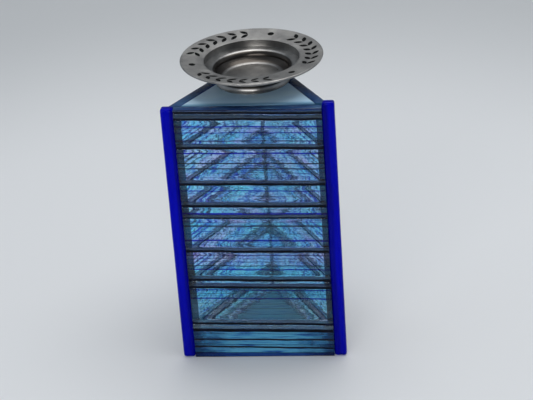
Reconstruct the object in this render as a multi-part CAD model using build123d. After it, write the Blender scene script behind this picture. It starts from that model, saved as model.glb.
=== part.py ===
"""Triangular stained-glass candlestick with a lift-out metal candle cup.

Frame: millimetres, +Z up, +X to the right and -Y to the front of the plain
glass front wall. The origin is on the surface that it stands on, at the centre
of the plan box, and the cup's axis rises from it.
"""

import os
from math import cos, radians, tan

from build123d import *

# ---- driving dimensions ------------------------------------------------------

FRONT_WIDTH = 71.4        # across the two front posts
DEPTH = 60.4              # front wall's face to the back of the rear post
WALL_HEIGHT = 118.2
WALL_THICKNESS = 4.2      # also the thickness of the posts and both plates
BOND = 0.1                # adhesive line between glass pieces that meet

POST_WIDTH = 5.3
POST_ROUNDING = 1.2       # fire-polished edges and ends
POST_HEIGHTS = {"front_left": 118.8, "front_right": 120.0, "rear": 119.4}

# Each wall is the same stack of fused glass bands, from the foot up, with a dark
# seam on every band but the last: (band height, height of the seam above it).
BANDS = [
    (4.5, 0.4),           # teal
    (3.5, 0.4),           # teal
    (3.9, 1.1),           # teal
    (2.5, 0.7),           # slate
    (17.2, 0.8),          # turquoise
    (2.9, 0.8),           # sky blue
    (13.1, 0.8),          # lilac
    (15.4, 0.4),          # cyan
    (5.0, 0.8),           # sky blue
    (9.4, 0.8),           # cyan
    (15.8, 0.8),          # sky blue
    (12.2, 0.7),          # cyan
    (2.3, 0.6),           # slate
    (1.4, 0.0),           # slate
]

# Candle cup: radii from its axis, heights down from its rim.
RIM_RADIUS = 30.0
CUP_HEIGHT = 11.0         # rim above the top plate
SEAT_RADIUS = 20.0        # takes a tealight in its metal case
FLANGE_FALL = 1.4         # dish of the flange, from rim to seat
FLANGE_THICKNESS = 1.0
SEAT_DEPTH = 4.4
LEDGE_RADIUS = 17.6       # where the ledge under the tealight starts to round over
WELL_MOUTH_RADIUS = 15.4
WELL_MOUTH_DEPTH = 7.0
WELL_FLOOR_RADIUS = 12.0
WELL_DEPTH = 9.2
DRUM_RADIUS = 21.1        # outside of the seat
WAIST_RADIUS = 14.9       # narrowest place outside, where the foot starts to flare
WAIST_DEPTH = 8.3
FOOT_RADIUS = 15.8
SPIGOT_RADIUS = 7.5
SPIGOT_LENGTH = 3.0
SPIGOT_CLEARANCE = 0.3
FOOT_GAP = 0.05           # cup's foot above the plate

# Engraved ornament: three sprigs of leaf pairs with a dot between, blackened.
ORNAMENT_RADIUS = 25.2
ENGRAVING_DEPTH = 0.3
ENAMEL_TOP = 0.1          # enamel's surface below the flange's surface
ORNAMENT_TURN = 136.0     # degrees from +X to the middle of the first sprig
SPRIGS = 3
LEAF_PAIRS = 7
LEAF_PITCH = 11.2         # degrees
LEAF_LENGTH = 4.3
LEAF_WIDTH = 1.9
LEAF_TILT = 40.0          # degrees from the sprig's own line
LEAF_OFFSET = 1.5         # leaf's centre from the sprig's line
DOT_RADIUS = 1.4

# ---- values that follow ------------------------------------------------------

FRONT_Y = -DEPTH / 2
SEAM_Y = FRONT_Y + WALL_THICKNESS              # inside of the front wall
REAR_SEAM_Y = DEPTH / 2 - WALL_THICKNESS       # front of the rear post
SLOPE = tan(radians(60))                       # rear walls lie at 60 degrees
OUTER_X = POST_WIDTH / 2 + (REAR_SEAM_Y - SEAM_Y) / SLOPE
INNER_X = OUTER_X - WALL_THICKNESS / cos(radians(30))
FRONT_WALL_LENGTH = FRONT_WIDTH - 2 * (POST_WIDTH + BOND)
RIM_Z = WALL_HEIGHT + CUP_HEIGHT
FLANGE_SLOPE = FLANGE_FALL / (RIM_RADIUS - SEAT_RADIUS)


def prism(points, bottom, height):
    """Upright solid on a plan outline."""
    outline = make_face(Polyline(*points, close=True))
    return extrude(Pos(0, 0, bottom) * outline, height)


# ---- walls -------------------------------------------------------------------

def front_outline():
    """Plan of one piece of the front wall, between the front posts."""
    half = FRONT_WALL_LENGTH / 2
    return [(-half, FRONT_Y), (half, FRONT_Y), (half, SEAM_Y), (-half, SEAM_Y)]


def rear_outline(side):
    """Plan of one piece of a rear wall; side is -1 for left and 1 for right.

    Its front end is cut parallel to the front wall. At the back it meets its
    neighbour in a mitre, and both are cut square where the rear post covers them.
    """
    foot_y = SEAM_Y + BOND
    foot_shift = BOND / SLOPE
    mitre_x = BOND / 2
    inner_apex_y = SEAM_Y + (INNER_X - mitre_x) * SLOPE
    points = [
        (OUTER_X - foot_shift, foot_y),
        (INNER_X - foot_shift, foot_y),
        (mitre_x, inner_apex_y),
        (mitre_x, REAR_SEAM_Y - BOND),
        (POST_WIDTH / 2 + foot_shift, REAR_SEAM_Y - BOND),
    ]
    return [(side * x, y) for x, y in points]


def wall_nodes(wall, outline):
    """One node for each glass band of a wall, and one for all of its seams."""
    nodes = {}
    seams = []
    level = 0.0
    for number, (height, seam) in enumerate(BANDS, 1):
        nodes[f"{wall}_band_{number:02d}"] = prism(outline, level, height)
        level += height
        if seam:
            seams.append(prism(outline, level, seam))
            level += seam
    nodes[f"{wall}_seams"] = Compound(children=seams)
    return nodes


# ---- posts and plates --------------------------------------------------------

def post(x, y, height):
    """Square glass bar with every edge and both ends rounded."""
    bar = Pos(x, y, height / 2) * Box(POST_WIDTH, WALL_THICKNESS, height)
    return fillet(bar.edges(), POST_ROUNDING)


def post_nodes():
    """The bars that cover the three corners."""
    front_x = (FRONT_WIDTH - POST_WIDTH) / 2
    front_y = FRONT_Y + WALL_THICKNESS / 2
    rear_y = REAR_SEAM_Y + WALL_THICKNESS / 2
    return {
        "front_left_post": post(-front_x, front_y, POST_HEIGHTS["front_left"]),
        "front_right_post": post(front_x, front_y, POST_HEIGHTS["front_right"]),
        "rear_post": post(0, rear_y, POST_HEIGHTS["rear"]),
    }


def plate_outline():
    """Plan of the plates, which fill the triangle between the walls."""
    front_y = SEAM_Y + BOND
    half_width = INNER_X - 3 * BOND / SLOPE
    return [(-half_width, front_y), (half_width, front_y), (0, front_y + half_width * SLOPE)]


def top_plate():
    """Plate flush with the top of the walls, bored for the cup's spigot."""
    plate = prism(plate_outline(), WALL_HEIGHT - WALL_THICKNESS, WALL_THICKNESS)
    hole = Pos(0, 0, WALL_HEIGHT) * Cylinder(SPIGOT_RADIUS + SPIGOT_CLEARANCE, 3 * WALL_THICKNESS)
    return plate - hole


def base_plate():
    """Plate flush with the foot of the walls."""
    return prism(plate_outline(), 0, WALL_THICKNESS)


# ---- candle cup --------------------------------------------------------------

def flange_z(radius):
    """Height of the flange's upper surface at a radius."""
    return RIM_Z - FLANGE_SLOPE * (RIM_RADIUS - radius)


def ring_layer(top, bottom):
    """The flange between two depths under its upper surface."""
    inner = SEAT_RADIUS - 1
    outer = RIM_RADIUS + 1
    section = Polyline(
        (inner, flange_z(inner) - top),
        (outer, flange_z(outer) - top),
        (outer, flange_z(outer) - bottom),
        (inner, flange_z(inner) - bottom),
        close=True,
    )
    return revolve(Plane.XZ * make_face(section), Axis.Z)


def leaf():
    """Pointed leaf along X, made by two equal circles."""
    half = LEAF_LENGTH / 2
    rise = LEAF_WIDTH / 2
    radius = (half ** 2 + rise ** 2) / (2 * rise)
    disc = Circle(radius)
    return (Pos(0, rise - radius) * disc) & (Pos(0, radius - rise) * disc)


def ornament_outlines():
    """Plan of every engraved mark, around the flange."""
    marks = []
    span = (LEAF_PAIRS - 1) * LEAF_PITCH
    for sprig in range(SPRIGS):
        middle = 360 / SPRIGS * sprig + ORNAMENT_TURN
        dot_turn = Rot(0, 0, middle + 180 / SPRIGS)
        marks.append(dot_turn * Pos(ORNAMENT_RADIUS, 0) * Circle(DOT_RADIUS))
        for pair in range(LEAF_PAIRS):
            turn = Rot(0, 0, middle - span / 2 + pair * LEAF_PITCH)
            for side in (-1, 1):
                place = Pos(ORNAMENT_RADIUS + side * LEAF_OFFSET, 0)
                tilt = Rot(0, 0, 90 - side * LEAF_TILT)
                marks.append(turn * place * tilt * leaf())
    return marks


def ornament_prisms():
    """The engraved marks as upright prisms through the flange."""
    bottom = flange_z(SEAT_RADIUS) - 2 * FLANGE_THICKNESS
    height = RIM_Z - bottom + FLANGE_THICKNESS
    return [extrude(Pos(0, 0, bottom) * mark, height) for mark in ornament_outlines()]


def cup_section():
    """Half section of the cup: dished flange, tealight seat, rounded ledge, well."""
    underside = FLANGE_THICKNESS
    seat_top = (SEAT_RADIUS, flange_z(SEAT_RADIUS))
    seat_foot = (SEAT_RADIUS, RIM_Z - SEAT_DEPTH)
    ledge = (LEDGE_RADIUS, RIM_Z - SEAT_DEPTH - 0.3)
    well_mouth = (WELL_MOUTH_RADIUS, RIM_Z - WELL_MOUTH_DEPTH)
    well_foot = (WELL_FLOOR_RADIUS, RIM_Z - WELL_DEPTH)
    floor_centre = (0, RIM_Z - WELL_DEPTH)
    foot_z = WALL_HEIGHT + FOOT_GAP
    spigot_z = foot_z - SPIGOT_LENGTH
    drum_top = (DRUM_RADIUS, flange_z(DRUM_RADIUS) - underside)
    drum_foot = (DRUM_RADIUS - 0.3, RIM_Z - SEAT_DEPTH - 0.9)
    waist = (WAIST_RADIUS, RIM_Z - WAIST_DEPTH)
    rim_top = (RIM_RADIUS - underside / 2, flange_z(RIM_RADIUS - underside / 2))
    rim_under = (RIM_RADIUS - underside / 2, rim_top[1] - underside)
    inside = Curve() + [
        Line(rim_top, seat_top),
        Line(seat_top, seat_foot),
        Line(seat_foot, ledge),
        TangentArc(ledge, well_mouth, tangent=(-1, -0.12)),
        ThreePointArc(well_mouth, (14.1, RIM_Z - WELL_DEPTH + 0.9), well_foot),
        Line(well_foot, floor_centre),
    ]
    outside = Curve() + [
        Line(floor_centre, (0, spigot_z)),
        Line((0, spigot_z), (SPIGOT_RADIUS, spigot_z)),
        Line((SPIGOT_RADIUS, spigot_z), (SPIGOT_RADIUS, foot_z)),
        Line((SPIGOT_RADIUS, foot_z), (FOOT_RADIUS, foot_z)),
        Line((FOOT_RADIUS, foot_z), (FOOT_RADIUS, foot_z + 0.4)),
        ThreePointArc((FOOT_RADIUS, foot_z + 0.4), (WAIST_RADIUS + 0.25, foot_z + 1.3), waist),
        TangentArc(waist, drum_foot, tangent=(0.6, 1)),
        Line(drum_foot, drum_top),
        Line(drum_top, rim_under),
        ThreePointArc(rim_under, (RIM_RADIUS, rim_top[1] - underside / 2), rim_top),
    ]
    return make_face(inside + outside)


def cup_nodes():
    """The cup with its engraving cut in, and the enamel that blackens it."""
    body = revolve(Plane.XZ * cup_section(), Axis.Z)
    prisms = ornament_prisms()
    cut_layer = ring_layer(-FLANGE_THICKNESS, ENGRAVING_DEPTH)
    enamel_layer = ring_layer(ENAMEL_TOP, ENGRAVING_DEPTH)
    for mark in prisms:
        body -= mark & cut_layer
    enamel = [(mark & enamel_layer).solids()[0] for mark in prisms]
    return {"candle_cup": body, "rim_enamel": Compound(children=enamel)}


# ---- assembly ----------------------------------------------------------------

def build():
    """Every node of the candlestick, by name."""
    nodes = {}
    nodes.update(wall_nodes("front", front_outline()))
    nodes.update(wall_nodes("left", rear_outline(-1)))
    nodes.update(wall_nodes("right", rear_outline(1)))
    nodes.update(post_nodes())
    nodes["top_plate"] = top_plate()
    nodes["base_plate"] = base_plate()
    nodes.update(cup_nodes())
    return nodes


os.makedirs("parts", exist_ok=True)
for name, shape in build().items():
    shape.label = name
    export_step(shape, f"parts/{name}.step")
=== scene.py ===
"""Looks of the triangular stained-glass candlestick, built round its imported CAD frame.

Everything is in metres in the CAD's own frame: +Z up, -Y out of the front wall,
and the candle cup's axis on the Z axis. Lengths below are in millimetres and are
scaled where vertices are made.
"""

import math

import bmesh
import bpy
from mathutils import Matrix, Vector, noise


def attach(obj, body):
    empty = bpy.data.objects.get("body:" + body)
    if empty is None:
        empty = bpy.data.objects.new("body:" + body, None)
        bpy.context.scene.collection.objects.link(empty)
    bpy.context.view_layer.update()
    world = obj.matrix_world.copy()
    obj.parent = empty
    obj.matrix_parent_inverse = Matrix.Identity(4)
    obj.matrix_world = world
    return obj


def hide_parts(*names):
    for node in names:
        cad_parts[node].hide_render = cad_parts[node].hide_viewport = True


MM = 0.001

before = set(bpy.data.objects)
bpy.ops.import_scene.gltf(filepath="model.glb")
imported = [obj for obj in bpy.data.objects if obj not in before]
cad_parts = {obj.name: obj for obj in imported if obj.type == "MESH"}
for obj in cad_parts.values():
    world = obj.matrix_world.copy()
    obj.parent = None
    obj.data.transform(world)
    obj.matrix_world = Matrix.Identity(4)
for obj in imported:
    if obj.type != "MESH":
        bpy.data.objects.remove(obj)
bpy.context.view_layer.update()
scene = bpy.context.scene


# ---- camera, floor and light ---------------------------------------------------

CAMERA_AT = Vector((82.5, -686.3, 416.9)) * MM
CAMERA_AIM = Vector((2.0, 0.0, 61.0)) * MM
CAMERA_LENS = 121.0
CAMERA_ROLL = math.radians(4.1)

WORLD_STRENGTH = 0.8
SOFTBOX_POWER = 4.3
FILL_POWER = 4.8

# Floor, in metres: a flat part, a curve up behind it, and a wall. It is painted palest near the object, a
# painted pool of light that greys further out.
FLOOR_FRONT = -1.2
FLOOR_BACK = 0.9
FLOOR_HALF_WIDTH = 2.2
CURVE_RADIUS = 0.5
CURVE_STEPS = 16
BACKDROP_HEIGHT = 1.6
# reach of the floor's painted pool of light, in metres from the object
PAINTED_LIGHT_FULL_TO = 0.20
PAINTED_LIGHT_GONE_FROM = 0.42


def make_camera():
    """Looks down on the front wall from a little to its right, as a hand-held camera leans."""
    data = bpy.data.cameras.new("camera")
    data.sensor_width = 36.0
    data.lens = CAMERA_LENS
    data.clip_start = 0.01
    camera = bpy.data.objects.new("camera", data)
    scene.collection.objects.link(camera)
    towards = (CAMERA_AIM - CAMERA_AT).to_track_quat("-Z", "Y").to_matrix().to_4x4()
    camera.matrix_world = Matrix.Translation(CAMERA_AT) @ towards @ Matrix.Rotation(-CAMERA_ROLL, 4, "Z")
    scene.camera = camera


def make_floor():
    """Pale seamless sheet: a floor that curves up into a backdrop far behind, with a painted pool of light
    palest near the object.
    """
    profile = [(FLOOR_FRONT, 0.0), (FLOOR_BACK, 0.0)]
    for k in range(1, CURVE_STEPS + 1):
        turn = math.pi / 2 * k / CURVE_STEPS
        profile.append((FLOOR_BACK + CURVE_RADIUS * math.sin(turn), CURVE_RADIUS * (1 - math.cos(turn))))
    profile.append((FLOOR_BACK + CURVE_RADIUS, BACKDROP_HEIGHT))
    points = []
    for y, z in profile:
        points += [(-FLOOR_HALF_WIDTH, y, z), (FLOOR_HALF_WIDTH, y, z)]
    faces = []
    for k in range(len(profile) - 1):
        faces.append((2 * k, 2 * k + 1, 2 * k + 3, 2 * k + 2))
    mesh = bpy.data.meshes.new("floor")
    mesh.from_pydata(points, [], faces)
    mesh.polygons.foreach_set("use_smooth", [True] * len(mesh.polygons))
    floor = bpy.data.objects.new("floor", mesh)
    scene.collection.objects.link(floor)
    material, tree, shader = new_material("floor")
    place = add(tree, "ShaderNodeTexCoord").outputs["Object"]
    distance = add(tree, "ShaderNodeVectorMath", {0: place}, operation="LENGTH").outputs[1]
    # painted pool of light: the sheet is palest near the object and greys further out
    stops = [(PAINTED_LIGHT_FULL_TO, (0.80, 0.805, 0.81)), (PAINTED_LIGHT_GONE_FROM, (0.62, 0.63, 0.635))]
    sheet = ramp(tree, distance, stops, "EASE")
    tree.links.new(sheet, shader.inputs["Base Color"])
    shader.inputs["Roughness"].default_value = 0.9
    mesh.materials.append(material)


def area_light(name, at, aim, size, power, colour=(1, 1, 1)):
    """Soft rectangular light."""
    data = bpy.data.lights.new(name, "AREA")
    data.shape = "RECTANGLE"
    data.size, data.size_y = size
    data.energy = power
    data.color = colour
    light = bpy.data.objects.new(name, data)
    scene.collection.objects.link(light)
    light.location = at
    light.rotation_mode = "QUATERNION"
    light.rotation_quaternion = (Vector(aim) - Vector(at)).to_track_quat("-Z", "Y")


def make_light():
    """Room that is darker in front, a large softbox above and behind, and a weaker one in front."""
    world = bpy.data.worlds.new("world")
    world.use_nodes = True
    tree = world.node_tree
    background = tree.nodes["Background"]
    towards = add(tree, "ShaderNodeTexCoord").outputs["Generated"]
    depth = add(tree, "ShaderNodeSeparateXYZ", {0: towards}).outputs[1]
    share = arithmetic(tree, "MULTIPLY_ADD", depth, 0.5, 0.5)
    stops = [(0.0, (0.10, 0.11, 0.13)), (0.45, (0.40, 0.46, 0.53)), (1.0, (0.82, 0.90, 1.0))]
    tree.links.new(ramp(tree, share, stops), background.inputs["Color"])
    background.inputs["Strength"].default_value = WORLD_STRENGTH
    scene.world = world
    area_light("softbox", (0.1, 0.15, 0.9), (0, 0.05, 0.0), (0.8, 0.6), SOFTBOX_POWER, (1.0, 0.985, 0.96))
    area_light("fill", (-0.15, -1.1, 0.42), (0, 0, 0.1), (0.9, 0.35), FILL_POWER)


def set_quality():
    """Plain display colours, and enough bounces for light to cross four glass faces."""
    scene.view_settings.view_transform = "Standard"
    scene.view_settings.exposure = 0.0
    cycles = scene.cycles
    cycles.max_bounces = 24
    cycles.transmission_bounces = 20
    cycles.glossy_bounces = 8
    cycles.diffuse_bounces = 4
    cycles.caustics_refractive = True
    cycles.caustics_reflective = False
    cycles.use_denoising = True


# ---- node helpers ----------------------------------------------------------------

def new_material(name):
    """Material with an empty Principled shader: returns material, tree and shader."""
    material = bpy.data.materials.new(name)
    material.use_nodes = True
    tree = material.node_tree
    return material, tree, tree.nodes["Principled BSDF"]


def add(tree, kind, values=None, **settings):
    """New node; values are its inputs by name or index, as numbers or sockets to link."""
    made = tree.nodes.new(kind)
    for key, value in settings.items():
        setattr(made, key, value)
    for key, value in (values or {}).items():
        if isinstance(value, bpy.types.NodeSocket):
            tree.links.new(value, made.inputs[key])
        else:
            made.inputs[key].default_value = value
    return made


def arithmetic(tree, operation, first, second, third=None):
    """Math node's output."""
    values = {0: first, 1: second}
    if third is not None:
        values[2] = third
    return add(tree, "ShaderNodeMath", values, operation=operation).outputs[0]


def mix(tree, factor, first, second, blend="MIX"):
    """Colour mix; its output. Colours may be sockets or linear RGB triples."""
    values = {0: factor}
    for index, colour in ((6, first), (7, second)):
        values[index] = colour if isinstance(colour, bpy.types.NodeSocket) else (*colour, 1)
    made = add(tree, "ShaderNodeMix", values, data_type="RGBA", blend_type=blend)
    return made.outputs[2]


def ramp(tree, factor, stops, interpolation="LINEAR"):
    """Colour ramp through (position, colour) stops; its colour output."""
    made = add(tree, "ShaderNodeValToRGB", {0: factor})
    band = made.color_ramp
    band.interpolation = interpolation
    while len(band.elements) < len(stops):
        band.elements.new(1.0)
    for element, (position, colour) in zip(band.elements, stops):
        element.position = position
        element.color = (*colour, 1)
    return made.outputs[0]


def scaled(tree, vector, scale):
    """Vector multiplied by a triple."""
    made = add(tree, "ShaderNodeVectorMath", {0: vector, 1: scale}, operation="MULTIPLY")
    return made.outputs[0]


def noise_value(tree, vector, scale, detail=2.0, roughness=0.5):
    """Noise texture's value output."""
    values = {"Vector": vector, "Scale": scale, "Detail": detail, "Roughness": roughness}
    return add(tree, "ShaderNodeTexNoise", values).outputs[0]


def grain(tree, vector, stretch, detail=2.0, roughness=0.5):
    """Noise whose scale differs along each axis."""
    return noise_value(tree, scaled(tree, vector, stretch), 1.0, detail, roughness)


def between(tree, value, low, high, start=0.0, end=1.0):
    """Value carried from the range low to high onto the range start to end, and held there outside it."""
    values = {0: value, 1: low, 2: high, 3: start, 4: end}
    return add(tree, "ShaderNodeMapRange", values).outputs[0]


def bump(tree, height, distance, strength=1.0):
    """Bump node's normal output."""
    values = {"Height": height, "Distance": distance, "Strength": strength}
    return add(tree, "ShaderNodeBump", values).outputs[0]


# ---- the glass stack ---------------------------------------------------------------

# Bottom and top of each band, from the foot up; a dark seam fills each gap.
BANDS = [
    (0.0, 4.5), (4.9, 8.4), (8.8, 12.7), (13.8, 16.3), (17.0, 34.2), (35.0, 37.9), (38.7, 51.8),
    (52.6, 68.0), (68.4, 73.4), (74.2, 83.6), (84.4, 100.2), (101.0, 113.2), (113.9, 116.2),
    (116.8, 118.2),
]

# Glass tints, linear, as light keeps them through one wall.
TINT = {
    "cyan": (0.36, 0.88, 1.00),
    "bright": (0.40, 0.96, 1.00),
    "sky": (0.60, 0.88, 1.00),
    "pale": (0.78, 0.95, 1.00),
    "lilac": (0.86, 0.80, 1.00),
    "mauve": (0.80, 0.58, 0.92),
    "turquoise": (0.30, 0.86, 0.96),
    "teal": (0.16, 0.56, 0.86),
    "teal_bright": (0.18, 0.68, 0.98),
    "slate": (0.34, 0.54, 0.74),
    "mist": (0.84, 1.00, 1.00),
    "deep": (0.10, 0.20, 0.36),
    "navy": (0.02, 0.10, 0.42),
}

# Fine lines fused into the outer face.
LINE = {
    "cobalt": (0.0005, 0.002, 0.36),
    "dark": (0.001, 0.002, 0.006),
    "grey": (0.03, 0.05, 0.07),
    "teal": (0.004, 0.04, 0.08),
    "mauve": (0.04, 0.02, 0.12),
}

# Each band's outer face: tints by height, and lines as (height, width, line).
FACES = [
    ([(0, "navy"), (1.9, "navy"), (2.3, "teal_bright"), (4.5, "teal")], [(2.1, 0.3, "dark")]),
    ([(4.9, "teal"), (6.5, "teal_bright"), (8.4, "teal")], [(6.1, 0.3, "teal")]),
    ([(8.8, "teal"), (10.5, "teal_bright"), (12.7, "teal")], [(11.6, 0.25, "teal")]),
    ([(13.8, "slate"), (15.0, "sky"), (16.3, "slate")], []),
    (
        [(17, "mist"), (28, "mist"), (30.4, "turquoise"), (32.6, "bright")],
        [(33.4, 0.5, "cobalt"), (31.6, 0.3, "teal"), (29.3, 0.6, "cobalt"), (26.6, 0.15, "teal"),
         (24.3, 0.25, "dark"), (21.6, 0.15, "teal"), (19.2, 0.15, "teal")],
    ),
    ([(35, "sky"), (37.9, "pale")], [(36.2, 0.3, "cobalt")]),
    (
        [(38.7, "sky"), (43, "bright"), (44.5, "cyan"), (46, "lilac"), (51.8, "lilac")],
        [(41.2, 0.25, "teal"), (43.5, 0.6, "cobalt"), (45.3, 0.4, "teal"), (47.3, 0.35, "mauve"),
         (48.8, 0.35, "mauve"), (50.4, 0.4, "mauve")],
    ),
    (
        [(52.6, "lilac"), (53.6, "lilac"), (55.5, "turquoise"), (58, "sky"), (61, "bright"),
         (64, "cyan"), (65.5, "turquoise"), (66.8, "mauve"), (68, "lilac")],
        [(54.8, 0.3, "cobalt"), (57.5, 0.8, "cobalt"), (60.6, 0.25, "teal"), (64.4, 0.8, "grey"),
         (66.2, 0.25, "mauve")],
    ),
    (
        [(68.4, "lilac"), (69.5, "pale"), (71, "bright"), (73.4, "sky")],
        [(70.3, 0.9, "cobalt"), (72.2, 0.3, "teal")],
    ),
    (
        [(74.2, "lilac"), (76.5, "sky"), (79, "sky"), (81.5, "bright"), (83.6, "bright")],
        [(76.0, 0.35, "cobalt"), (78.4, 0.25, "mauve"), (81.0, 0.45, "cobalt")],
    ),
    (
        [(84.4, "lilac"), (86, "lilac"), (90.2, "turquoise"), (92.4, "pale"), (95, "sky"), (99.4, "pale")],
        [(87.2, 0.3, "cobalt"), (89.4, 0.3, "teal"), (91.3, 0.6, "grey"), (93.7, 0.5, "dark"),
         (96.2, 0.3, "teal"), (98.3, 0.7, "cobalt")],
    ),
    (
        [(101, "lilac"), (102.5, "sky"), (105, "cyan"), (107, "cyan"), (108.2, "lilac"),
         (110, "sky"), (111, "bright"), (112.7, "bright"), (113.2, "lilac")],
        [(102.4, 0.25, "cobalt"), (103.9, 0.45, "mauve"), (107.6, 0.4, "cobalt"), (109.6, 0.3, "dark"),
         (110.3, 0.6, "cobalt")],
    ),
    ([(113.9, "slate"), (115.8, "slate"), (116.2, "mauve")], [(115.2, 0.3, "teal")]),
    ([(116.8, "deep"), (117.5, "deep"), (117.7, "navy"), (118.2, "navy")], []),
]

# How clear the front wall's milkier bands are, by band.
CLARITY = {0: 0.5, 1: 0.6, 2: 0.6, 3: 0.9, 12: 0.9, 13: 0.7}

# Rear bands that are clearer, or bluer, than the front band at their height.
REAR_TINTS = {0: "cyan", 1: "sky", 2: "bright", 3: "pale", 4: "cyan"}

FOOT_BANDS = 3            # the front wall's lowest bands darken towards their ends
FRONT_MIDDLE = 0.303      # of the front wall, along its map

LINE_SOFTNESS = 0.08      # blur of a line's sides
THIN_LINE = 0.4           # a line below this width is one colour stop, and a wider one two

# Colours of a seam's outer edge, and of the rest of it, whose slate blue is a painted reflection of light
# from above.
SEAM_EDGE_STOPS = [(0.35, (0.001, 0.0015, 0.003)), (0.6, (0.002, 0.003, 0.01)), (0.75, (0.005, 0.01, 0.04))]
SEAM_PAINTED_REFLECTION_STOPS = [(0.35, (0.01, 0.04, 0.11)), (0.6, (0.04, 0.11, 0.23)), (0.75, (0.10, 0.23, 0.42))]

UV_NAME = "wall"
UV_UNIT = 100.0           # millimetres along and up the wall that make one unit of its map


def mixed(first, second, share):
    """Colour between two colours."""
    return tuple(a + (b - a) * share for a, b in zip(first, second))


def tint_at(tints, height):
    """Tint of a face at a height, between its named tints."""
    if height <= tints[0][0]:
        return TINT[tints[0][1]]
    for (low, first), (high, second) in zip(tints, tints[1:]):
        if height <= high:
            return mixed(TINT[first], TINT[second], (height - low) / (high - low))
    return TINT[tints[-1][1]]


def face_stops(number, front):
    """Colour stops up a band's face, as shares of its height; a front face has dark edges too."""
    bottom, top = BANDS[number]
    tints, lines = FACES[number]
    if not front and number in REAR_TINTS:
        tints = [(bottom, REAR_TINTS[number]), (top, REAR_TINTS[number])]
    stops = [(height, TINT[name]) for height, name in tints]
    for height, width, name in lines:
        low, high = height - width / 2, height + width / 2
        below, above = low - LINE_SOFTNESS, high + LINE_SOFTNESS
        stops = [stop for stop in stops if not below <= stop[0] <= above]
        stops += [(below, tint_at(tints, below)), (above, tint_at(tints, above))]
        stops += [(height, LINE[name])] if width < THIN_LINE else [(low, LINE[name]), (high, LINE[name])]
    if front:
        dark = LINE["dark"]
        clear_from, clear_to = bottom + 0.35, top - 0.25
        stops = [stop for stop in stops if bottom + 0.45 < stop[0] < top - 0.35]
        stops += [(bottom, dark), (bottom + 0.2, dark), (clear_from, tint_at(tints, clear_from))]
        stops += [(clear_to, tint_at(tints, clear_to)), (top - 0.12, dark), (top, dark)]
    return [((height - bottom) / (top - bottom), colour) for height, colour in sorted(stops)]


def wall_coordinates(tree):
    """Along and up the wall in the wall's own map: vector, along and up."""
    coordinates = add(tree, "ShaderNodeUVMap", uv_map=UV_NAME).outputs[0]
    parts = add(tree, "ShaderNodeSeparateXYZ", {0: coordinates})
    return coordinates, parts.outputs[0], parts.outputs[1]


def share_up(tree, number, vector, up, stretch, detail, wander):
    """Share of a band's height, waving a little by a noise stretched along the wall."""
    bottom, top = (height / UV_UNIT for height in BANDS[number])
    wave = arithmetic(tree, "MULTIPLY_ADD", grain(tree, vector, stretch, detail), 2 * wander, -wander)
    above = arithmetic(tree, "SUBTRACT", arithmetic(tree, "ADD", up, wave), bottom)
    return arithmetic(tree, "MULTIPLY", above, 1 / (top - bottom))


def glass(shader, roughness, clarity=1.0, ior=1.33, specular=0.1):
    """Coloured glass on a Principled shader; clarity below 1 makes it milky."""
    shader.inputs["Transmission Weight"].default_value = clarity
    shader.inputs["Roughness"].default_value = roughness
    shader.inputs["IOR"].default_value = ior
    shader.inputs["Specular IOR Level"].default_value = specular


def darker_ends(tree, vector, along):
    """Multiplier that mottles the ends of the front wall's foot bands dark."""
    patch = grain(tree, vector, (14.0, 34.0, 1.0), 3.0, 0.6)
    from_middle = arithmetic(tree, "ABSOLUTE", arithmetic(tree, "SUBTRACT", along, FRONT_MIDDLE), 0.0)
    reach = arithmetic(tree, "MULTIPLY_ADD", from_middle, 3.3, arithmetic(tree, "MULTIPLY", patch, 0.9))
    stops = [(0.30, (1.0, 1.0, 1.0)), (0.55, (0.45, 0.50, 0.60)), (0.80, (0.10, 0.14, 0.25))]
    return ramp(tree, arithmetic(tree, "SUBTRACT", reach, 0.6), stops)


def face_material(number, front):
    """Outer face of a band: fused layers seen edge on, with fine lines that wander a little."""
    kind = "edged" if front else "plain"
    material, tree, shader = new_material(f"glass_{kind}_{number + 1:02d}")
    glass(shader, 0.0, CLARITY.get(number, 1.0) if front else 1.0)
    vector, along, up = wall_coordinates(tree)
    share = share_up(tree, number, vector, up, (9.0, 3.0, 1.0), 2.0, 0.003)
    layers = ramp(tree, share, face_stops(number, front))
    streak = grain(tree, vector, (7.0, 130.0, 1.0), 3.0, 0.6)
    stops = [(0.32, (0.03, 0.08, 0.40)), (0.42, (0.60, 0.72, 0.90)), (0.50, (1.0, 1.0, 1.0))]
    colour = mix(tree, 1.0, layers, ramp(tree, streak, stops), "MULTIPLY")
    if front and number < FOOT_BANDS:
        colour = mix(tree, 1.0, colour, darker_ends(tree, vector, along), "MULTIPLY")
    tree.links.new(colour, shader.inputs["Base Color"])
    tree.links.new(bump(tree, grain(tree, vector, (30.0, 90.0, 1.0)), 0.0001), shader.inputs["Normal"])
    return material


def ground_colour(tree, number, up):
    """Broad tint of a band's inner face, from its lower to its upper part."""
    tints, _ = FACES[number]
    bottom, top = BANDS[number]
    low = tint_at(tints, bottom + (top - bottom) * 0.3)
    high = tint_at(tints, bottom + (top - bottom) * 0.75)
    share = arithmetic(tree, "MULTIPLY_ADD", up, UV_UNIT / (top - bottom), -bottom / (top - bottom))
    return ramp(tree, share, [(0.2, low), (0.8, high)])


def clear_material(number):
    """Inner face of the front wall: nearly clear and smooth, with faint draw lines."""
    material, tree, shader = new_material(f"glass_clear_{number + 1:02d}")
    glass(shader, 0.0)
    vector, _, up = wall_coordinates(tree)
    draw = grain(tree, vector, (8.0, 160.0, 1.0))
    lines = ramp(tree, draw, [(0.35, (0.75, 0.82, 0.9)), (0.5, (1.0, 1.0, 1.0))])
    colour = mix(tree, 1.0, ground_colour(tree, number, up), lines, "MULTIPLY")
    tree.links.new(colour, shader.inputs["Base Color"])
    return material


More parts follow.
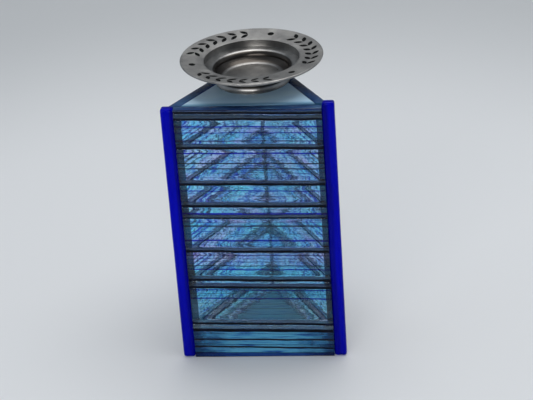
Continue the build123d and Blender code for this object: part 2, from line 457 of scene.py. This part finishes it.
def rough_material(number):
    """Inner face of a rear wall: rough-rolled glass, mottled blue and lilac, with dark specks, and pale
    specks that are painted sparkle highlights.
    """
    material, tree, shader = new_material(f"glass_rough_{number + 1:02d}")
    glass(shader, 0.03)
    vector, _, up = wall_coordinates(tree)
    share = share_up(tree, number, vector, up, (12.0, 4.0, 3.0), 3.0, 0.002)
    ground = ramp(tree, share, face_stops(number, False))
    # pale specks: painted highlights, where the rough glass would catch the light
    pale = grain(tree, vector, (26.0, 70.0, 2.0), 3.0, 0.7)
    painted_sparkle = ramp(tree, pale, [(0.50, (0, 0, 0)), (0.60, (0.75, 0.75, 0.75))])
    ground = mix(tree, painted_sparkle, ground, (0.85, 0.97, 1.0))
    broad = grain(tree, vector, (14.0, 60.0, 1.0), 3.0, 0.6)
    stops = [
        (0.37, (0.002, 0.02, 0.60)), (0.42, (0.30, 0.60, 1.0)),
        (0.47, (1.0, 1.0, 1.0)), (0.60, (0.9, 0.50, 1.0)),
    ]
    coloured = mix(tree, 0.95, ground, ramp(tree, broad, stops), "MULTIPLY")
    fine = grain(tree, vector, (45.0, 95.0, 1.0), 3.0, 0.65)
    stops = [(0.37, (0.0002, 0.001, 0.02)), (0.43, (0.22, 0.36, 0.50)), (0.47, (1.0, 1.0, 1.0))]
    speckled = mix(tree, 0.95, coloured, ramp(tree, fine, stops), "MULTIPLY")
    tree.links.new(speckled, shader.inputs["Base Color"])
    tree.links.new(bump(tree, fine, 0.00015), shader.inputs["Normal"])
    return material


def fused_material():
    """Flat of a band where it fused to the next one: cloudy, so it mirrors nothing sharply."""
    material, tree, shader = new_material("glass_fused")
    glass(shader, 0.55)
    vector, _, _ = wall_coordinates(tree)
    cloud = grain(tree, vector, (20.0, 40.0, 1.0), 3.0)
    stops = [(0.35, (0.05, 0.17, 0.42)), (0.6, (0.14, 0.36, 0.68)), (0.75, (0.34, 0.58, 0.90))]
    tree.links.new(ramp(tree, cloud, stops), shader.inputs["Base Color"])
    return material


def seam_material(name, stops):
    """Satin dark glass where two bands fused, streaked through the given colours."""
    material, tree, shader = new_material(name)
    shader.inputs["Roughness"].default_value = 0.4
    shader.inputs["Specular IOR Level"].default_value = 0.1
    vector, _, _ = wall_coordinates(tree)
    streak = grain(tree, vector, (20.0, 40.0, 1.0), 3.0)
    tree.links.new(ramp(tree, streak, stops), shader.inputs["Base Color"])
    tree.links.new(bump(tree, streak, 0.0002), shader.inputs["Normal"])
    return material


# ---- walls -----------------------------------------------------------------------

# Plan lines of each wall: outer face, and inner face from the same end.
REAR_OUTER = [(32.61, -25.9), (2.71, 25.9)]
REAR_INNER = [(27.76, -25.9), (0.05, 22.10), (0.05, 25.9)]
WALLS = {
    "front": ([(-30.3, -30.2), (30.3, -30.2)], [(-30.3, -26.0), (30.3, -26.0)]),
    "left": ([(-x, y) for x, y in REAR_OUTER], [(-x, y) for x, y in REAR_INNER]),
    "right": (REAR_OUTER, REAR_INNER),
}
THICKNESS = 4.2
STEP = 0.9                # size of the mesh cells along and up a wall
EDGE = {"front": 0.35, "left": 0.08, "right": 0.08}     # rounding of a band's long edges
RELIEF = {"front": 0.02, "left": 0.02, "right": 0.02}   # depth of the inner face's texture
TILT = {"front": -1.3, "left": 0.4, "right": -0.3}      # rise of every seam along the wall
SEAM_GAP = 0.03           # air film between a band and a seam
SEAM_RECESS = 0.12        # seam's edge behind the glass faces
SEAM_BEVEL = 0.1          # depth of the two slopes that make a seam's edge
SLOW_WAVE = (19.0, 0.25)  # length and height of a seam's long waves
QUICK_WAVE = (4.5, 0.08)  # and of its short ones
WAVE_SPAN = 60.0          # length of wall over which a seam rises by its tilt
FADE = 0.03               # share of a wall over which its relief dies out at each end
REAR_FADE_END = 0.9       # a rear wall's relief ends before its mitre
MAP_SHIFT = 1.7           # keeps the three walls' maps apart
SHARP = math.radians(55)  # an edge that turns further than this isn't smoothed

# Materials of a band, by the place of the face that has them.
FACE, BACK, LEDGE, CUT_END, COBALT, FUSED = range(6)


def walk(line, share):
    """Point at a share of a polyline's length."""
    points = [Vector(point) for point in line]
    lengths = [(b - a).length for a, b in zip(points, points[1:])]
    left = share * sum(lengths)
    for a, b, length in zip(points, points[1:], lengths):
        if left <= length or b is points[-1]:
            return a.lerp(b, min(left / length, 1.0))
        left -= length


def line_length(line):
    """Length of a polyline."""
    points = [Vector(point) for point in line]
    return sum((b - a).length for a, b in zip(points, points[1:]))


def stations(outer, inner):
    """Places along a wall, from 0 to 1, with one at the inner face's corner."""
    count = round(line_length(outer) / STEP)
    shares = [k / count for k in range(count + 1)]
    if len(inner) > 2:
        corner = (Vector(inner[1]) - Vector(inner[0])).length / line_length(inner)
        nearest = min(range(1, count), key=lambda k: abs(shares[k] - corner))
        shares[nearest] = corner
    return shares


def seam_wave(wall, wall_index, level, along):
    """How far a seam stands above its mean height at a place along the wall."""
    if level == 0:
        return 0.0
    if level == len(BANDS):
        return min(0.0, TILT[wall]) * 0.4 * along / WAVE_SPAN
    slow = noise.noise(Vector((along / SLOW_WAVE[0], level * 7.3, wall_index * 3.1)))
    quick = noise.noise(Vector((along / QUICK_WAVE[0], level * 5.7, wall_index * 2.3 + 40.0)))
    tilt = noise.noise(Vector((level * 3.77, wall_index * 5.13, 9.5)))
    wave = SLOW_WAVE[1] * slow + QUICK_WAVE[1] * quick
    return wave + (TILT[wall] + 0.5 * tilt) * (along / WAVE_SPAN - 0.5)


def inner_relief(wall_index, along, height):
    """Texture of the inner face, from about 0 to 1."""
    spot = Vector((along / 4.0, height / 2.6, wall_index * 11.0))
    return 0.5 + 0.5 * noise.noise(spot) + 0.25 * noise.noise(spot * 2.3)


def band_section(height, edge):
    """Halves of a band's cross-section as (depth, height): up the outer face, down the inner."""
    corner = [(edge, 0.0), (edge * 0.3, edge * 0.3)]
    rows = max(2, round((height - 2 * edge) / STEP))
    rises = [edge + (height - 2 * edge) * k / rows for k in range(rows + 1)]
    upper_corner = [(depth, height - rise) for depth, rise in reversed(corner)]
    outside = corner + [(0.0, rise) for rise in rises] + upper_corner
    inside = [(THICKNESS - depth, rise) for depth, rise in reversed(outside)]
    return outside, inside


def finish_mesh(name, points, faces, zones, materials, uvs=None):
    """Object with smooth faces, sharp edges, a material for each face's zone, and the wall map if given."""
    mesh = bpy.data.meshes.new(name)
    mesh.from_pydata([Vector(point) * MM for point in points], [], faces)
    for material in materials:
        mesh.materials.append(material)
    mesh.polygons.foreach_set("material_index", zones)
    mesh.polygons.foreach_set("use_smooth", [True] * len(faces))
    if uvs is not None:
        layer = mesh.uv_layers.new(name=UV_NAME)
        for loop in mesh.loops:
            layer.data[loop.index].uv = uvs[loop.vertex_index]
    mesh.update()
    shape = bmesh.new()
    shape.from_mesh(mesh)
    bmesh.ops.recalc_face_normals(shape, faces=shape.faces)
    shape.to_mesh(mesh)
    shape.free()
    mesh.set_sharp_from_angle(angle=SHARP)
    made = bpy.data.objects.new(name, mesh)
    scene.collection.objects.link(made)
    return made


def sweep(wall_index, shares, lines, ring_at):
    """Points and map of rings along a wall; ring_at gives (depth, height, mapped height)."""
    outer, inner = lines
    length = line_length(outer)
    points, uvs = [], []
    for share in shares:
        near = walk(outer, share)
        far = walk(inner, share)
        for depth, height, level in ring_at(share):
            spot = near.lerp(far, depth / THICKNESS)
            points.append((spot.x, spot.y, height))
            uvs.append((share * length / UV_UNIT + wall_index * MAP_SHIFT, level / UV_UNIT))
    return points, uvs


def tube_faces(first, stations_count, ring):
    """Quads between rings, and a cap on each end."""
    faces = []
    for k in range(stations_count - 1):
        a, b = first + k * ring, first + (k + 1) * ring
        for j in range(ring):
            n = (j + 1) % ring
            faces.append((a + j, a + n, b + n, b + j))
    faces.append(tuple(range(first, first + ring)))
    faces.append(tuple(range(first + (stations_count - 1) * ring, first + stations_count * ring)))
    return faces


def make_band(wall, wall_index, number, materials):
    """One glass band of a wall, with wavy long edges and a textured inner face."""
    lines = WALLS[wall]
    shares = stations(*lines)
    length = line_length(lines[0])
    bottom, top = BANDS[number]
    outside, inside = band_section(top - bottom, EDGE[wall])
    fade_end = REAR_FADE_END if wall != "front" else 1.0

    def ring_at(share):
        along = share * length
        low = bottom + seam_wave(wall, wall_index, number, along)
        high = top + seam_wave(wall, wall_index, number + 1, along)
        stretch = (high - low) / (top - bottom)
        fade = min(1.0, share / FADE, max(0.0, (fade_end - share) / FADE))
        ring = [(depth, low + rise * stretch, bottom + rise) for depth, rise in outside]
        for depth, rise in inside:
            height = low + rise * stretch
            calm = max(0.0, min(1.0, rise, top - bottom - rise))
            cut = RELIEF[wall] * fade * calm * inner_relief(wall_index, along, height)
            ring.append((depth - cut, height, bottom + rise))
        return ring

    points, uvs = sweep(wall_index, shares, lines, ring_at)
    ring = len(outside) + len(inside)
    faces = tube_faces(0, len(shares), ring)
    back_first = len(outside)
    strip = [BACK if back_first <= j < ring - 1 else FACE for j in range(ring)]
    strip[back_first - 1] = strip[-1] = FUSED
    if number == len(BANDS) - 1:
        strip[back_first - 1] = LEDGE
        if wall == "left":
            strip[back_first] = strip[back_first + 1] = COBALT
    zones = strip * (len(shares) - 1) + [CUT_END, CUT_END]
    piece = finish_mesh(f"glass_{wall}_{number + 1:02d}", points, faces, zones, materials, uvs)
    node = f"{wall}_band_{number + 1:02d}"
    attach(piece, "glass_body")
    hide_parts(node)


def make_seams(wall, wall_index, materials):
    """All the dark seams of a wall: thin wavy strips, black at the outer edge and slate blue behind it, the
    slate blue being a painted reflection of light from above.
    """
    lines = WALLS[wall]
    shares = stations(*lines)
    length = line_length(lines[0])
    points, uvs, faces, zones = [], [], [], []
    for number in range(len(BANDS) - 1):
        low, high = BANDS[number][1] + SEAM_GAP, BANDS[number + 1][0] - SEAM_GAP

        def ring_at(share):
            wave = seam_wave(wall, wall_index, number + 1, share * length)
            near, far = SEAM_RECESS, THICKNESS - SEAM_RECESS
            middle = (low + high) / 2 + wave
            outer = [(near + SEAM_BEVEL, low + wave), (near, middle), (near + SEAM_BEVEL, high + wave)]
            inner = [(far - SEAM_BEVEL, high + wave), (far, middle), (far - SEAM_BEVEL, low + wave)]
            return [(depth, height, height) for depth, height in outer + inner]

        new_points, new_uvs = sweep(wall_index, shares, lines, ring_at)
        faces += tube_faces(len(points), len(shares), 6)
        # zone 0 is the black outer edge; zone 1, the flats and back, takes the slate blue of the painted
        # reflection
        zones += [0, 0, 1, 1, 1, 1] * (len(shares) - 1) + [0, 0]
        points += new_points
        uvs += new_uvs
    piece = finish_mesh(f"seams_{wall}", points, faces, zones, materials, uvs)
    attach(piece, "glass_body")
    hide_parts(f"{wall}_seams")


def make_walls(cobalt):
    """Every band and seam of the three walls."""
    numbers = range(len(BANDS))
    edged = [face_material(number, True) for number in numbers]
    plain = [face_material(number, False) for number in numbers]
    clear = [clear_material(number) for number in numbers]
    rough = [rough_material(number) for number in numbers]
    seam_edge = seam_material("dark_seam", SEAM_EDGE_STOPS)
    # slate blue of the seams' flats: painted reflection of light from above
    seam_painted_reflection = seam_material("seam_painted_reflection", SEAM_PAINTED_REFLECTION_STOPS)
    shared = (plate_material("wall_top"), plate_material("cut_end"), cobalt, fused_material())
    for wall_index, wall in enumerate(WALLS):
        fronts, backs = (edged, clear) if wall == "front" else (plain, rough)
        for number in numbers:
            make_band(wall, wall_index, number, (fronts[number], backs[number], *shared))
        make_seams(wall, wall_index, (seam_edge, seam_painted_reflection))


# ---- posts -------------------------------------------------------------------------

POSTS = {
    "front_left_post": (-33.05, -28.1, 118.8),
    "front_right_post": (33.05, -28.1, 120.0),
    "rear_post": (0.0, 28.1, 119.4),
}
POST_HALF_WIDTH = 2.65
POST_HALF_DEPTH = 2.1
POST_ROUNDING = 1.2
POST_STEP = 2.5
CORNER_STEPS = 5          # facets of a rounded corner or end


def post_material():
    """Deep cobalt glass."""
    material, tree, shader = new_material("cobalt_glass")
    glass(shader, 0.04, clarity=0.65, specular=0.06)
    shader.inputs["Specular Tint"].default_value = (0.3, 0.35, 1.0, 1)
    place = add(tree, "ShaderNodeTexCoord").outputs["Object"]
    cord = grain(tree, place, (400.0, 400.0, 30.0), 3.0)
    stops = [(0.3, (0.0002, 0.0004, 0.42)), (0.5, (0.0003, 0.0006, 0.54)), (0.75, (0.001, 0.002, 0.62))]
    tree.links.new(ramp(tree, cord, stops), shader.inputs["Base Color"])
    tree.links.new(bump(tree, cord, 0.0003), shader.inputs["Normal"])
    return material


def post_section(inset):
    """Rounded rectangle of the post's plan, pulled in by inset."""
    rounding = max(POST_ROUNDING - inset, 0.25)
    half_x, half_y = POST_HALF_WIDTH - inset, POST_HALF_DEPTH - inset
    ring = []
    for quarter in range(4):
        sign_x = 1 if quarter in (0, 3) else -1
        sign_y = 1 if quarter in (0, 1) else -1
        for k in range(CORNER_STEPS + 1):
            turn = math.pi / 2 * (quarter + k / CORNER_STEPS)
            ring.append((
                sign_x * (half_x - rounding) + rounding * math.cos(turn),
                sign_y * (half_y - rounding) + rounding * math.sin(turn),
            ))
    return ring


def make_post(name, index, material):
    """Fire-polished bar: rounded ends, and faces that swell and thin very slightly."""
    x, y, height = POSTS[name]
    turns = [math.pi / 2 * k / CORNER_STEPS for k in range(CORNER_STEPS + 1)]
    ends = [(POST_ROUNDING * (1 - math.cos(turn)), POST_ROUNDING * (1 - math.sin(turn))) for turn in turns]
    straight = height - 2 * POST_ROUNDING
    count = round(straight / POST_STEP)
    middle = [(POST_ROUNDING + straight * k / count, 0.0) for k in range(1, count)]
    levels = ends + middle + [(height - z, inset) for z, inset in reversed(ends)]
    points = []
    for z, inset in levels:
        swell = 0.05 + 0.05 * noise.noise(Vector((z / 14.0, index * 9.1, 3.0)))
        points += [(x + px, y + py, z) for px, py in post_section(inset + swell)]
    ring = len(post_section(0.0))
    faces = tube_faces(0, len(levels), ring)
    piece = finish_mesh(f"bar_{name}", points, faces, [0] * len(faces), [material])
    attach(piece, "glass_body")
    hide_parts(name)


# ---- plates ------------------------------------------------------------------------

PLATE_FRONT = -25.9
PLATE_HALF_WIDTH = 27.65
PLATE_BEVEL = 0.3
PLATE_EDGE_POINTS = 12
HOLE_RADIUS = 7.8
HOLE_POINTS = 72
DARK_STRIP_DEPTH = 3.7         # width of the dark streaked strip along the top plate's front edge

PLATE_CLARITY = {"base_plate": 0.05, "top_plate": 0.2, "wall_top": 0.2, "cut_end": 0.2}
PLATE_COLOURS = {
    "cut_end": [(0.35, (0.002, 0.010, 0.03)), (0.5, (0.015, 0.07, 0.15)), (0.7, (0.06, 0.20, 0.34))],
    "wall_top": [(0.3, (0.004, 0.016, 0.07)), (0.5, (0.014, 0.055, 0.17)), (0.7, (0.06, 0.15, 0.28))],
    "top_plate": [(0.3, (0.50, 0.74, 0.95)), (0.55, (0.57, 0.82, 1.0)), (0.75, (0.64, 0.88, 1.0))],
    "base_plate": [(0.3, (0.46, 0.84, 0.98)), (0.55, (0.52, 0.90, 1.0)), (0.75, (0.60, 0.94, 1.0))],
}


def front_dark_streaks(tree, place):
    """Multiplier that streaks a plate dark along its front edge."""
    streak = grain(tree, place, (40.0, 700.0, 40.0), 3.0)
    depth = add(tree, "ShaderNodeSeparateXYZ", {0: place}).outputs[1]
    start = PLATE_FRONT - PLATE_BEVEL
    near = between(tree, depth, start * MM, (start + DARK_STRIP_DEPTH) * MM)
    reach = arithmetic(tree, "MULTIPLY_ADD", streak, 0.5, arithmetic(tree, "SUBTRACT", near, 0.25))
    return ramp(tree, reach, [(0.1, (0.12, 0.24, 0.32)), (0.4, (0.50, 0.62, 0.70)), (0.8, (1.0, 1.0, 1.0))])


def plate_material(name):
    """Slate-blue sheet glass, slightly cloudy, with faint rolling marks."""
    material, tree, shader = new_material(f"glass_{name}")
    glass(shader, 0.25, PLATE_CLARITY[name], ior=1.5, specular=0.25)
    place = add(tree, "ShaderNodeTexCoord").outputs["Object"]
    sheet = ramp(tree, grain(tree, place, (60.0, 90.0, 60.0), 3.0), PLATE_COLOURS[name])
    if name == "top_plate":
        # darkens a streaked strip along the plate's front edge
        sheet = mix(tree, 1.0, sheet, front_dark_streaks(tree, place), "MULTIPLY")
    tree.links.new(sheet, shader.inputs["Base Color"])
    marks = grain(tree, place, (300.0, 900.0, 300.0))
    tree.links.new(bump(tree, marks, 0.0001), shader.inputs["Normal"])
    return material


def make_plate(name, bottom, hole, material):
    """Triangular plate with softened edges, bored when hole is a radius."""
    apex = PLATE_FRONT + PLATE_HALF_WIDTH * math.tan(math.radians(60))
    corners = [(-PLATE_HALF_WIDTH, PLATE_FRONT), (PLATE_HALF_WIDTH, PLATE_FRONT), (0.0, apex)]
    outline = []
    for (ax, ay), (bx, by) in zip(corners, corners[1:] + corners[:1]):
        shares = [k / PLATE_EDGE_POINTS for k in range(PLATE_EDGE_POINTS)]
        outline += [(ax + (bx - ax) * share, ay + (by - ay) * share) for share in shares]
    loops = [outline]
    if hole:
        turns = [math.tau * k / HOLE_POINTS for k in range(HOLE_POINTS)]
        loops.append([(hole * math.cos(turn), hole * math.sin(turn)) for turn in turns])
    shape = bmesh.new()
    edges = []
    for loop in loops:
        ring = [shape.verts.new((px * MM, py * MM, bottom * MM)) for px, py in loop]
        edges += [shape.edges.new((a, b)) for a, b in zip(ring, ring[1:] + ring[:1])]
    bmesh.ops.triangle_fill(shape, use_beauty=True, edges=edges)
    lifted = bmesh.ops.extrude_face_region(shape, geom=list(shape.faces))
    tops = [item for item in lifted["geom"] if isinstance(item, bmesh.types.BMVert)]
    bmesh.ops.translate(shape, verts=tops, vec=(0, 0, THICKNESS * MM))
    bmesh.ops.recalc_face_normals(shape, faces=shape.faces)
    rims = [edge for edge in shape.edges if edge.is_manifold and edge.calc_face_angle() > math.radians(60)]
    bmesh.ops.bevel(shape, geom=rims, offset=PLATE_BEVEL * MM, segments=3, affect="EDGES", profile=0.5)
    mesh = bpy.data.meshes.new(name)
    shape.to_mesh(mesh)
    shape.free()
    mesh.materials.append(material)
    mesh.polygons.foreach_set("use_smooth", [True] * len(mesh.polygons))
    mesh.set_sharp_from_angle(angle=math.radians(35))
    piece = bpy.data.objects.new(f"sheet_{name}", mesh)
    scene.collection.objects.link(piece)
    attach(piece, "glass_body")
    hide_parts(name)


# ---- candle cup --------------------------------------------------------------------

# Cup, in metres: the flange starts at its inner radius; the well lies below the candle's seat.
FLANGE_INNER = (0.0198, 0.0206)
WELL_FLOOR = (0.1200, 0.1205)
WELL_TOP = (0.1257, 0.1263)
WELL_WALL = (0.0164, 0.0168)
# dark brown colour of the painted shade on the well's wall
WELL_PAINTED_SHADE = (0.05, 0.042, 0.036)


def pewter_material():
    """Cast and turned pewter: satin flange, brighter seat, painted shade on the well's wall, fine turning
    rings.
    """
    material, tree, shader = new_material("pewter")
    shader.inputs["Metallic"].default_value = 1.0
    place = add(tree, "ShaderNodeTexCoord").outputs["Object"]
    flat = scaled(tree, place, (1.0, 1.0, 0.0))
    radius = add(tree, "ShaderNodeVectorMath", {0: flat}, operation="LENGTH").outputs[1]
    on_flange = between(tree, radius, *FLANGE_INNER)
    sand = noise_value(tree, place, 2600.0, 4.0, 0.6)
    cloud = noise_value(tree, place, 130.0, 3.0, 0.6)
    stops = [(0.3, (0.24, 0.235, 0.23)), (0.6, (0.38, 0.37, 0.355)), (0.8, (0.54, 0.53, 0.51))]
    colour = ramp(tree, cloud, stops)
    up = add(tree, "ShaderNodeSeparateXYZ", {0: place}).outputs[2]
    below_seat = between(tree, up, *WELL_TOP, 0.95, 0.0)
    above_floor = between(tree, up, *WELL_FLOOR)
    in_bore = between(tree, radius, *WELL_WALL, 1.0, 0.0)
    # painted shade: the well's wall between seat and floor darkens, while the floor keeps the metal's
    # colour
    shaded_well_wall = arithmetic(tree, "MULTIPLY", arithmetic(tree, "MULTIPLY", below_seat, above_floor), in_bore)
    tree.links.new(mix(tree, shaded_well_wall, colour, WELL_PAINTED_SHADE), shader.inputs["Base Color"])
    rough = arithmetic(tree, "MULTIPLY_ADD", on_flange, 0.14, 0.24)
    tree.links.new(arithmetic(tree, "MULTIPLY_ADD", cloud, 0.12, rough), shader.inputs["Roughness"])
    rings = noise_value(tree, add(tree, "ShaderNodeCombineXYZ", {0: radius}).outputs[0], 2400.0, 2.0)
    height = arithmetic(tree, "MULTIPLY_ADD", rings, 0.5, arithmetic(tree, "MULTIPLY", sand, on_flange))
    tree.links.new(bump(tree, height, 0.00012), shader.inputs["Normal"])
    return material


def enamel_material():
    """Matt black filling of the engraving."""
    material, tree, shader = new_material("black_enamel")
    place = add(tree, "ShaderNodeTexCoord").outputs["Object"]
    wear = noise_value(tree, place, 900.0, 3.0)
    stops = [(0.35, (0.0008, 0.0008, 0.001)), (0.65, (0.002, 0.002, 0.002)), (0.8, (0.02, 0.02, 0.02))]
    tree.links.new(ramp(tree, wear, stops), shader.inputs["Base Color"])
    shader.inputs["Roughness"].default_value = 0.7
    shader.inputs["Specular IOR Level"].default_value = 0.1
    tree.links.new(bump(tree, wear, 0.00005), shader.inputs["Normal"])
    return material


def assign(node, material):
    """Gives a CAD node that stays its better material."""
    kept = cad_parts[node]
    for slot in kept.material_slots:
        slot.material = material


# ---- everything ----------------------------------------------------------------------

make_camera()
make_floor()
make_light()
set_quality()
cobalt = post_material()
make_walls(cobalt)
for post_index, post_name in enumerate(POSTS):
    make_post(post_name, post_index, cobalt)
make_plate("top_plate", 114.0, HOLE_RADIUS, plate_material("top_plate"))
make_plate("base_plate", 0.0, 0.0, plate_material("base_plate"))
assign("candle_cup", pewter_material())
assign("rim_enamel", enamel_material())
